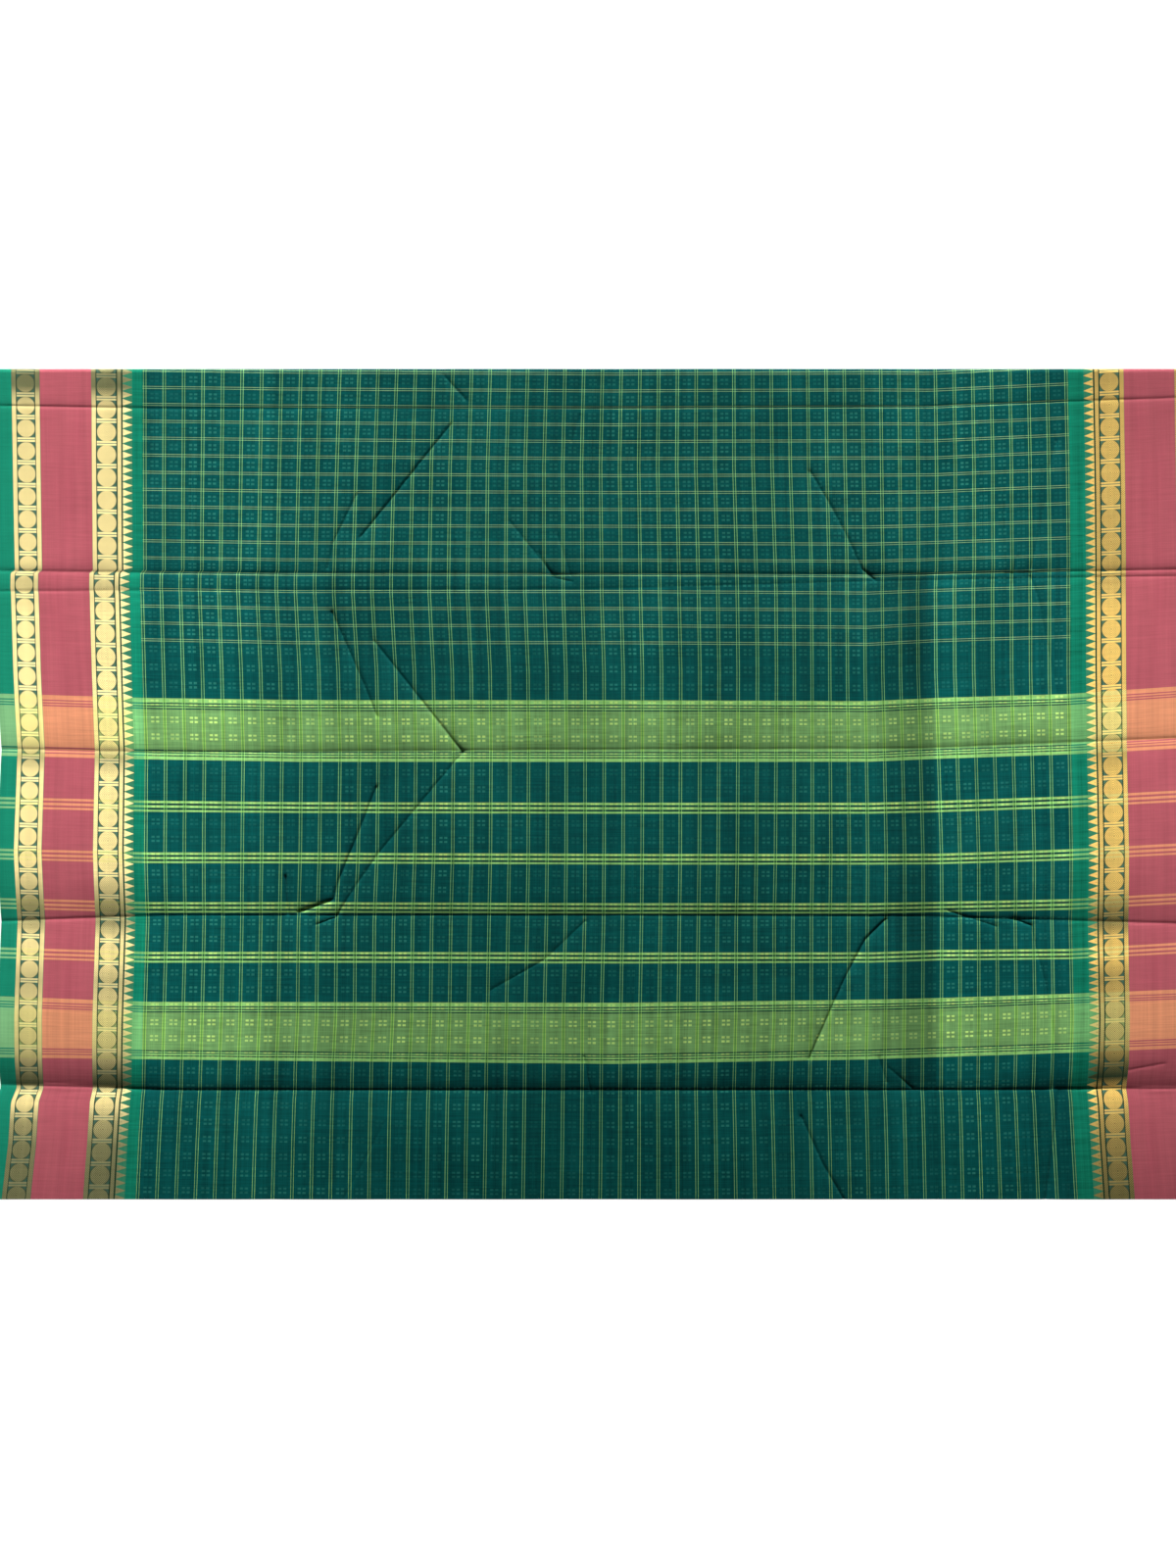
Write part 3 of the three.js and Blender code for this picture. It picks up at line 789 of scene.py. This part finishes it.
def new_group(name, takes, gives):
    """An empty shader group that takes and gives numbers, and a colour where it says Color."""
    tree = bpy.data.node_groups.new(name, "ShaderNodeTree")
    for label in takes:
        tree.interface.new_socket(name=label, in_out="INPUT", socket_type="NodeSocketFloat")
    for label in gives:
        kind = "NodeSocketColor" if label == "Color" else "NodeSocketFloat"
        tree.interface.new_socket(name=label, in_out="OUTPUT", socket_type=kind)
    wiring = Wiring(tree)
    return wiring, wiring.node("NodeGroupInput").outputs, wiring.node("NodeGroupOutput").inputs


# How strongly the key lamps light the cloth where they fall fully
KEY_LEVEL = 1.28


def linear(level):
    """Linear light from a level of 0 to 255 as the eye sees it."""
    return ((level / 255 + 0.055) / 1.055) ** 2.4 if level > 10 else level / 255 / 12.92


def seen(red, green, blue, lamp=1.0):
    """A colour that the eye sees as these levels under so strong a lamp."""
    return (*[linear(level) / lamp for level in (red, green, blue)], 1.0)


def dye(red, green, blue):
    """Cotton that looks like this where the key lamp falls fully."""
    return seen(red, green, blue, KEY_LEVEL)


# Painted light and shade: the field's colour is lightened and darkened in strips across it, for how
# the lamps fall on the old lengthwise folds. Place across, then the painted shade between the lowest
# crosswise crease and the pair of thin ones, then the painted shade elsewhere.
PAINTED_STRIP_SHADING = [
    (132, 1.32, 1.14), (225, 1.32, 1.24), (250, 1.20, 1.36), (275, 1.04, 1.16), (299, 1.16, 1.14),
    (330, 0.98, 1.14), (460, 1.02, 1.08), (560, 0.95, 0.98), (620, 1.08, 1.02), (700, 0.90, 1.02),
    (800, 0.96, 1.04), (835, 1.12, 1.02), (850, 1.00, 1.08), (868, 0.82, 1.20), (895, 0.74, 1.14),
    (901, 0.86, 1.08), (906, 1.36, 1.12), (930, 1.38, 1.32), (960, 1.16, 1.30), (985, 1.28, 1.22),
    (1034, 1.30, 1.12), (1042, 1.06, 1.14),
]
PAINTED_SHADING_FROM = 106.0
PAINTED_SHADING_TO = 604.0


# Shader groups
def thread_group():
    """Slight differences from thread to thread, both ways, and the grain of plain weave."""
    w, given, out = new_group("Cotton threads", ("Across", "Along"), ("Shade", "Height"))
    across, along = given["Across"], given["Along"]
    warp = w.noise(across, along, 0.9, 70, 2)
    weft = w.noise(across, along, 60, 0.9, 2)
    slub = w.noise(across, along, 32, 2.2, 2)
    wide = w.noise(across, along, 6, 220, 1)
    total = w.maths("ADD", w.maths("ADD", warp, weft), w.maths("ADD", slub, wide))
    w.put(out["Shade"], w.minus(total, 2.0))
    w.put(out["Height"], w.maths("ADD", warp, weft))
    return w.tree


def weft_group():
    """Light bands and lines that the weft makes across the whole cloth, and the check lines."""
    w, given, out = new_group("Weft design", ("Along",), ("Light", "Check", "Wide", "Dark"))
    along = given["Along"]
    lower = w.maths("LESS_THAN", along, (BAND_TOPS[0] + BAND_TOPS[1]) / 2)
    from_top = w.minus(BAND_TOPS[0], along)
    from_top = w.minus(from_top, w.both(lower, BAND_TOPS[0] - BAND_TOPS[1]))
    band = w.stripes(from_top, BAND_STRIPES)
    wide = w.strip(from_top, BAND_STRIPES[3]["from"], BAND_STRIPES[3]["to"])
    triple = w.stripes(w.repeat(along, TRIPLE_PITCH, FIRST_TRIPLE), TRIPLE_LINES, 0.5)
    last_triple = FIRST_TRIPLE + 3 * TRIPLE_PITCH
    has_triples = w.strip(along, FIRST_TRIPLE - TRIPLE_ROOM, last_triple + TRIPLE_ROOM)
    triple = w.both(triple, has_triples)
    check = w.size(w.repeat(along, MOTIF_PITCH, FIRST_CHECK))
    check = w.strip(check, 1.0 - THREAD_LINE / 2, 1.0 + THREAD_LINE / 2, 0.3)
    check = w.both(check, w.maths("GREATER_THAN", along, FIRST_CHECK - MOTIF_PITCH / 2))
    lowest, highest = TRIPLE_LINES[-1]["from"], TRIPLE_LINES[0]["to"]
    beside = w.strip(w.repeat(along, TRIPLE_PITCH, FIRST_TRIPLE), lowest, highest)
    beside = w.both(beside, has_triples)
    w.put(out["Light"], w.most(band, triple))
    w.put(out["Dark"], w.most(beside, w.strip(from_top, 0, BAND_STRIPES[-1]["to"])))
    w.put(out["Check"], check)
    w.put(out["Wide"], wide)
    return w.tree


def warp_group():
    """The pairs of light warp lines, and the ground between the two lines of a pair."""
    w, given, out = new_group("Warp pairs", ("Across",), ("Line", "Gap", "Inside"))
    across = given["Across"]
    off = w.size(w.repeat(across, PAIR_PITCH, FIRST_PAIR))
    inside = w.strip(across, FIRST_PAIR - 2, LAST_PAIR + 2)
    line = w.strip(off, PAIR_HALF_GAP - THREAD_LINE / 2, PAIR_HALF_GAP + THREAD_LINE / 2, 0.3)
    w.put(out["Line"], w.both(line, inside))
    w.put(out["Gap"], w.both(w.maths("LESS_THAN", off, PAIR_HALF_GAP), inside))
    w.put(out["Inside"], inside)
    return w.tree


def motif_group():
    """Four small dashes in every cell; how clearly they show differs from cell to cell."""
    w, given, out = new_group("Dashes", ("Across", "Along"), ("Dash", "Strength"))
    across, along = given["Across"], given["Along"]
    cell = w.repeat(across, PAIR_PITCH, FIRST_PAIR + PAIR_PITCH / 2)
    row = w.repeat(along, MOTIF_PITCH, MOTIF_ROW)
    sideways = w.strip(w.size(cell), 0.8, 3.8, 0.5)
    upward = w.strip(w.size(row), 1.0, 2.95, 0.5)
    inside = w.strip(across, FIRST_PAIR, LAST_PAIR)
    w.put(out["Dash"], w.both(sideways, upward, inside))
    column = w.maths("FLOOR", w.maths("DIVIDE", w.minus(across, FIRST_PAIR), PAIR_PITCH))
    chance = w.node("ShaderNodeTexWhiteNoise", noise_dimensions="1D")
    w.put(chance.inputs["W"], column)
    patch = w.noise(across, along, 90, 160, 1)
    by_column = w.ramp(chance.outputs["Value"], 0, 1, 0.5, 1.0)
    by_patch = w.ramp(patch, 0.35, 0.65, 0.3, 1.0)
    w.put(out["Strength"], w.both(by_column, by_patch))
    return w.tree


def field_group(threads, weft, warp, motif):
    """Colour of the checked field and of the plain emerald strip beside it."""
    w, given, out = new_group("Field colours", ("Across", "Along"), ("Color", "Height"))
    across, along = given["Across"], given["Along"]
    thread = w.use(threads, Across=across, Along=along)
    light = w.use(weft, Along=along)
    pair = w.use(warp, Across=across)
    dashes = w.use(motif, Across=across, Along=along)

    ground = w.paint(dye(0, 66, 64), dye(7, 85, 81), w.noise(across, along, 110, 60, 2))
    ground = w.paint(ground, dye(58, 150, 130), w.both(dashes["Dash"], dashes["Strength"], 0.42))
    ground = w.paint(ground, dye(2, 44, 42), w.both(light["Dark"], 0.75))
    colour = w.paint(ground, dye(136, 176, 118), light["Check"])
    band = w.paint(dye(116, 164, 98), dye(102, 146, 88), w.noise(across, along, 120, 40, 1))
    band = w.paint(dye(134, 192, 110), band, light["Wide"])
    on_band = w.both(dashes["Dash"], w.ramp(dashes["Strength"], 0, 0.8, 0.35, 1))
    band = w.paint(band, dye(186, 222, 122), on_band)
    colour = w.paint(colour, band, light["Light"])
    line = w.paint(dye(132, 194, 116), dye(172, 222, 120), w.most(light["Check"], light["Light"]))
    line = w.paint(line, dye(176, 220, 100), light["Wide"])
    gap = w.paint(dye(34, 94, 58), dye(92, 150, 66), light["Light"])
    colour = w.paint(colour, gap, w.both(pair["Gap"], w.ramp(light["Light"], 0, 1, 0.25, 0.7)))
    colour = w.paint(colour, line, pair["Line"])

    emerald = w.paint(dye(15, 121, 94), dye(114, 182, 112), light["Light"])
    colour = w.paint(emerald, colour, pair["Inside"])
    # Painted light and shade: the colour is lightened and darkened in strips across the field, by one
    # set of factors between the two creases and another elsewhere.
    between = w.strip(along, PAINTED_SHADING_FROM, PAINTED_SHADING_TO, 8.0)
    elsewhere = w.table(across, CLOTH_WIDTH, [(row[0], row[2]) for row in PAINTED_STRIP_SHADING])
    shade = w.table(across, CLOTH_WIDTH, [(row[0], row[1]) for row in PAINTED_STRIP_SHADING])
    shade = w.maths("ADD", w.both(shade, between), w.both(elsewhere, w.minus(1.0, between)))
    colour = w.lighten(colour, w.both(shade, w.ramp(thread["Shade"], -0.7, 0.7, 0.64, 1.36)))
    w.put(out["Color"], colour)
    w.put(out["Height"], thread["Height"])
    return w.tree


def bead_group():
    """One gold strip of hatched discs with a double bar between each and the next."""
    takes = ("Off centre", "Along", "Radius", "Half width")
    w, given, out = new_group("Bead strip", takes, ("Gold", "Line", "Ring"))
    off = w.size(given["Off centre"])
    along = w.repeat(given["Along"], BEAD_PITCH, 0.0)
    up = w.size(along)
    reach = w.maths("SQRT", w.maths("ADD", w.both(off, off), w.both(up, up)))
    disc = w.ramp(w.minus(reach, given["Radius"]), -0.2, 0.2, 1.0, 0.0)
    from_bar = w.minus(BEAD_PITCH / 2, up)
    bar = w.strip(from_bar, 0.35, 2.1)
    inside = w.ramp(w.minus(off, given["Half width"]), -0.15, 0.15, 1.0, 0.0)
    slant = w.size(w.minus(up, off))
    hatch = w.strip(w.repeat(slant, HATCH_PITCH, 0.0), -0.38, 0.38, 0.3)
    ring = w.strip(w.minus(reach, given["Radius"]), 0.05, 0.9)
    ring = w.both(ring, w.ramp(bar, 0, 1, 1, 0))
    w.put(out["Gold"], w.both(w.most(disc, bar), inside))
    w.put(out["Line"], w.both(hatch, disc))
    w.put(out["Ring"], w.both(ring, inside))
    return w.tree


def border_group(threads, weft, beads):
    """Colour of the woven border, from the selvedge in to the tips of the temple row."""
    takes = ("Across", "Along", "Outer beads", "Inner beads", "Shine", "Warmth")
    w, given, out = new_group("Border colours", takes, ("Color", "Gold", "Height"))
    across, along = given["Across"], given["Along"]
    thread = w.use(threads, Across=across, Along=along)
    light = w.use(weft, Along=along)["Light"]

    cloth = w.paint(dye(25, 138, 108), dye(132, 194, 132), light)
    maroon = w.strip(across, MAROON["from"], MAROON["to"])
    red = w.paint(dye(190, 98, 107), dye(182, 88, 100), w.noise(across, along, 14, 90, 2))
    red = w.paint(red, dye(234, 154, 114), light)
    cloth = w.paint(cloth, red, maroon)
    strip = w.stripes(across, GOLD_STRIPS)
    cloth = w.paint(cloth, w.paint(dye(84, 124, 104), dye(165, 185, 115), light), strip)
    emerald = w.paint(dye(17, 122, 95), dye(114, 184, 112), light)
    cloth = w.paint(cloth, emerald, w.maths("GREATER_THAN", across, GOLD_STRIPS[1]["to"]))

    cloth = w.paint(cloth, dye(30, 64, 44), w.stripes(across, ROPE_EDGES))
    gold = []
    lines = []
    for row, start in ((OUTER_BEADS, given["Outer beads"]), (INNER_BEADS, given["Inner beads"])):
        discs = w.use(beads, **{
            "Off centre": w.minus(across, row["centre"]),
            "Along": w.minus(along, start),
            "Radius": row["radius"],
            "Half width": row["half_width"],
        })
        gold.append(discs["Gold"])
        lines.append(discs["Line"])
        cloth = w.paint(cloth, dye(88, 92, 50), w.both(discs["Ring"], 0.7))
    ropes = w.stripes(across, ROPES)
    twill = w.repeat(w.maths("ADD", along, across), TWILL_PITCH, 0.0)
    gold.append(ropes)
    twill = w.both(w.strip(twill, -0.45, 0.45, 0.4), w.ramp(given["Warmth"], 0, 1, 0.6, 0.9))
    lines.append(w.both(ropes, twill))

    from_bead = w.minus(along, given["Inner beads"])
    tooth = w.size(w.repeat(from_bead, TOOTH_PITCH, 0.0))
    height = w.minus(across, TEMPLE["base"])
    slope = TOOTH_PITCH / 2 / (TEMPLE["tip"] - TEMPLE["base"])
    edge = w.minus(TOOTH_PITCH * 0.45, w.both(height, slope * 0.92))
    teeth = w.ramp(w.minus(edge, tooth), -0.15, 0.15, 0.0, 1.0)
    teeth = w.both(teeth, w.ramp(height, -0.1, 0.1, 0, 1))
    notch = w.both(w.ramp(tooth, 0.25, 0.6, 1, 0), w.strip(height, 0.8, 2.4), 0.5)
    gold.append(teeth)
    lines.append(w.both(notch, teeth, w.ramp(given["Warmth"], 0, 1, 0.7, 1)))
    between = w.both(w.strip(across, TEMPLE["base"], TEMPLE["tip"]), 0.2)
    cloth = w.paint(cloth, dye(120, 175, 120), between)

    gold = w.most(*gold)
    lines = w.most(*lines)
    # Painted highlight and shade: the shine mixes the gold between a lit colour and a dark shaded one,
    # softens the thread lines where it shines, and darkens the cloth in the gold strips where the gold
    # is dark.
    shine = given["Shine"]
    metal = w.paint(seen(255, 236, 165), seen(255, 214, 118), given["Warmth"])
    metal = w.paint(metal, seen(250, 240, 150), w.both(light, 0.7))
    thread_gap = w.paint(seen(150, 120, 60), seen(110, 78, 34), given["Warmth"])
    metal = w.paint(metal, thread_gap, w.both(lines, w.ramp(shine, 0.3, 1, 1.0, 0.6)))
    metal = w.paint(seen(52, 72, 50), metal, shine)
    cloth = w.paint(cloth, w.lighten(cloth, w.ramp(shine, 0, 1, 0.5, 1.0)), strip)
    colour = w.lighten(w.paint(cloth, metal, gold), w.ramp(thread["Shade"], -0.7, 0.7, 0.85, 1.15))
    w.put(out["Color"], colour)
    w.put(out["Gold"], gold)
    w.put(out["Height"], w.maths("ADD", thread["Height"], w.both(gold, 0.8)))
    return w.tree


# Materials
def set_values(node, values):
    """Plain values on a node's own sockets."""
    for name, value in values.items():
        node.inputs[name].default_value = value


def new_material(name):
    material = bpy.data.materials.new(name)
    material.use_nodes = True
    wiring = Wiring(material.node_tree)
    return material, wiring, material.node_tree.nodes["Principled BSDF"]


def weave_place(w):
    """The place on the woven cloth, in millimetres across and along."""
    parts = w.node("ShaderNodeSeparateXYZ")
    w.put(parts.inputs[0], w.node("ShaderNodeUVMap", uv_map="weave").outputs[0])
    return [w.both(parts.outputs[i], 1 / MM) for i in (0, 1)]


def finish_cotton(w, shader, colour, height, gold=None):
    """Matt cotton with a little nap; gold thread is smoother and partly metal."""
    w.put(shader.inputs["Base Color"], colour)
    set_values(shader, {"Roughness": 0.82, "Sheen Weight": 0.01, "Sheen Roughness": 0.5,
                        "Specular IOR Level": 0.05})
    if gold is not None:
        w.put(shader.inputs["Metallic"], w.both(gold, 0.1))
        w.put(shader.inputs["Roughness"], w.ramp(gold, 0, 1, 0.82, 0.6))
    bump = w.node("ShaderNodeBump")
    set_values(bump, {"Strength": 0.5, "Distance": 0.08 * MM})
    w.put(bump.inputs["Height"], height)
    w.put(shader.inputs["Normal"], bump.outputs[0])


def field_cotton(name, groups):
    material, w, shader = new_material(name)
    across, along = weave_place(w)
    field = w.use(groups["field"], Across=across, Along=along)
    finish_cotton(w, shader, field["Color"], field["Height"])
    return material


def border_cotton(name, groups, beads, shine, warmth, mirrored):
    material, w, shader = new_material(name)
    across, along = weave_place(w)
    if mirrored:
        across = w.minus(CLOTH_WIDTH, across)
    shine = w.table(along, WOVEN_LENGTH, shine)
    border = w.use(groups["border"], Across=across, Along=along, Shine=shine, Warmth=warmth, **beads)
    finish_cotton(w, shader, border["Color"], border["Height"], border["Gold"])
    return material


def whole_cotton(name, groups):
    """The whole width of the cloth, for the hidden layers."""
    material, w, shader = new_material(name)
    across, along = weave_place(w)
    inward = w.maths("MINIMUM", across, w.minus(CLOTH_WIDTH, across))
    field = w.use(groups["field"], Across=across, Along=along)
    # The gold of the hidden layers takes one fixed painted shine.
    border = w.use(groups["border"], Across=inward, Along=along, Shine=0.8, Warmth=0.4, **LEFT_BEADS)
    in_border = w.maths("LESS_THAN", inward, BORDER_WIDTH)
    colour = w.paint(field["Color"], border["Color"], in_border)
    finish_cotton(w, shader, colour, field["Height"], w.both(border["Gold"], in_border))
    return material


def make_materials():
    threads, weft, warp, motif = thread_group(), weft_group(), warp_group(), motif_group()
    groups = {
        "field": field_group(threads, weft, warp, motif),
        "border": border_group(threads, weft, bead_group()),
    }
    return {
        "field": field_cotton("checked cotton", groups),
        "left": border_cotton("woven border, left", groups, LEFT_BEADS, LEFT_SHINE, 0.0, False),
        "right": border_cotton("woven border, right", groups, RIGHT_BEADS, RIGHT_SHINE, 1.0, True),
        "layers": whole_cotton("folded cotton", groups),
    }


# The scene
place_camera()
materials = make_materials()
for column in COLUMNS:
    piece = top_column(column)
    side = {"border_left_cloth": "left", "border_right_cloth": "right"}.get(column["name"], "field")
    piece.data.materials.append(materials[side])
    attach(piece, "root")
    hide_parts(*column["nodes"])

layers, hidden_length = hidden_sheet()
layers.data.materials.append(materials["layers"])
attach(layers, "root")
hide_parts("folded_layers")


def soft_lamp(name, place, aim, size, spread, power):
    """A wide lamp that faces a point."""
    bpy.ops.object.light_add(type="AREA", location=place)
    lamp = bpy.context.object
    lamp.name = name
    lamp.data.shape = "RECTANGLE"
    lamp.data.size, lamp.data.size_y = size
    lamp.data.spread = math.radians(spread)
    lamp.data.energy = power
    x, y, z = (a - p for a, p in zip(aim, place))
    tilt = math.atan2(math.hypot(x, y), -z)
    lamp.rotation_euler = (tilt, 0, math.atan2(y, x) - math.pi / 2)


# The key light comes low from beyond the far fold, from lamps side by side, so that every
# crease shows. Each row has the place that a lamp faces, its width and depth in metres, its
# spread in degrees, and its watts for each metre of width.
KEY_LAMPS = [
    {"name": "key left", "aim": (-0.80, 0.10, 0), "size": (0.90, 0.5), "spread": 8, "watts": 5.7},
    {"name": "key middle", "aim": (-0.06, 0.19, 0), "size": (0.58, 0.5), "spread": 8, "watts": 4.7},
    {"name": "key right", "aim": (0.36, 0.12, 0), "size": (0.26, 0.5), "spread": 8, "watts": 5.2},
    {"name": "key far right", "aim": (0.77, 0.02, 0), "size": (0.60, 0.3), "spread": 5.2,
     "watts": 2.55},
]
KEY_REACH = 4.05
KEY_HEIGHT = 1.65
KEY_TURN = math.radians(3)


def light_scene():
    for row in KEY_LAMPS:
        x, y, _ = row["aim"]
        place = (x - KEY_REACH * math.sin(KEY_TURN), y + KEY_REACH * math.cos(KEY_TURN), KEY_HEIGHT)
        power = row["watts"] * row["size"][0]
        soft_lamp(row["name"], place, row["aim"], row["size"], row["spread"], power)
    world = bpy.data.worlds.new("studio")
    bpy.context.scene.world = world
    world.use_nodes = True
    set_values(world.node_tree.nodes["Background"], {"Color": (1, 1, 1, 1), "Strength": 0.06})
    bpy.context.scene.view_settings.view_transform = "Standard"


def lay_floor():
    bpy.ops.object.select_all(action="DESELECT")
    bpy.ops.mesh.primitive_plane_add(size=12, location=(0, 0, 0))
    floor = bpy.context.object
    floor.name = "floor"
    material, _, shader = new_material("white paper")
    set_values(shader, {"Base Color": (0.25, 0.25, 0.25, 1), "Roughness": 0.9,
                        "Emission Color": (1, 1, 1, 1), "Emission Strength": 1.0})
    floor.data.materials.append(material)


light_scene()
lay_floor()
